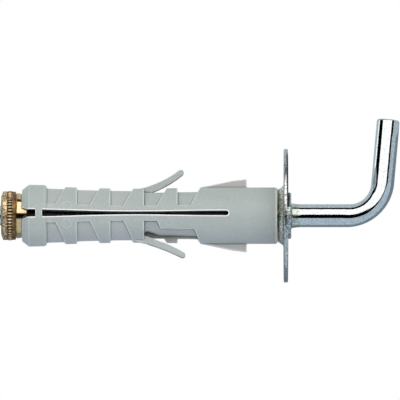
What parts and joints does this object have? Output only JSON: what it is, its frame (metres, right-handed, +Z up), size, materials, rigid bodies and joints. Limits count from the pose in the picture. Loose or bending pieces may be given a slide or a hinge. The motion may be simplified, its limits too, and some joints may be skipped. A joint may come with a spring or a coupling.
{
  "type": "nylon plug with hook",
  "caption": "Split nylon wall plug with folding barbs and fins, drawn open by a knurled brass nut on the threaded shank of a right-angled steel hook with a round cover plate.",
  "frame": {"origin": "on the long axis, in the plane of the wall that the cover plate lies against", "axes": "+X along the long axis, out of the wall; +Z up, along the hook's arm; +Y sideways"},
  "size_m": [0.0994, 0.0332, 0.0407],
  "materials": {
    "grey_nylon": "moulded, light grey, faint sheen",
    "turned_brass": "turned and knurled",
    "zinc_plated_steel": "bright zinc plate on drawn rod",
    "zinc_plated_sheet": "bright zinc plate on pressed sheet"
  },
  "bodies": {
    "plug": {"plug": "grey_nylon"},
    "hook": {"hook": "zinc_plated_steel"},
    "nut": {"expander_nut": "turned_brass"},
    "plate": {"wall_plate": "zinc_plated_sheet"}
  },
  "joints": [
    {"name": "hook_turn", "type": "hinge", "parent": "plug", "child": "hook", "pos_m": [0, 0, 0], "axis": [-1, 0, 0], "range_deg": [-1620, 450]},
    {"name": "nut_travel", "type": "slide", "parent": "plug", "child": "nut", "axis": [1, 0, 0], "range_m": [-0.00451, 0.00126]},
    {"name": "plate_spin", "type": "hinge", "parent": "hook", "child": "plate", "pos_m": [0, 0, 0], "axis": [1, 0, 0], "continuous": true}
  ],
  "couplings": [
    {"joint": "nut_travel", "follows": "hook_turn", "m_per_rad": 0.00015915}
  ]
}
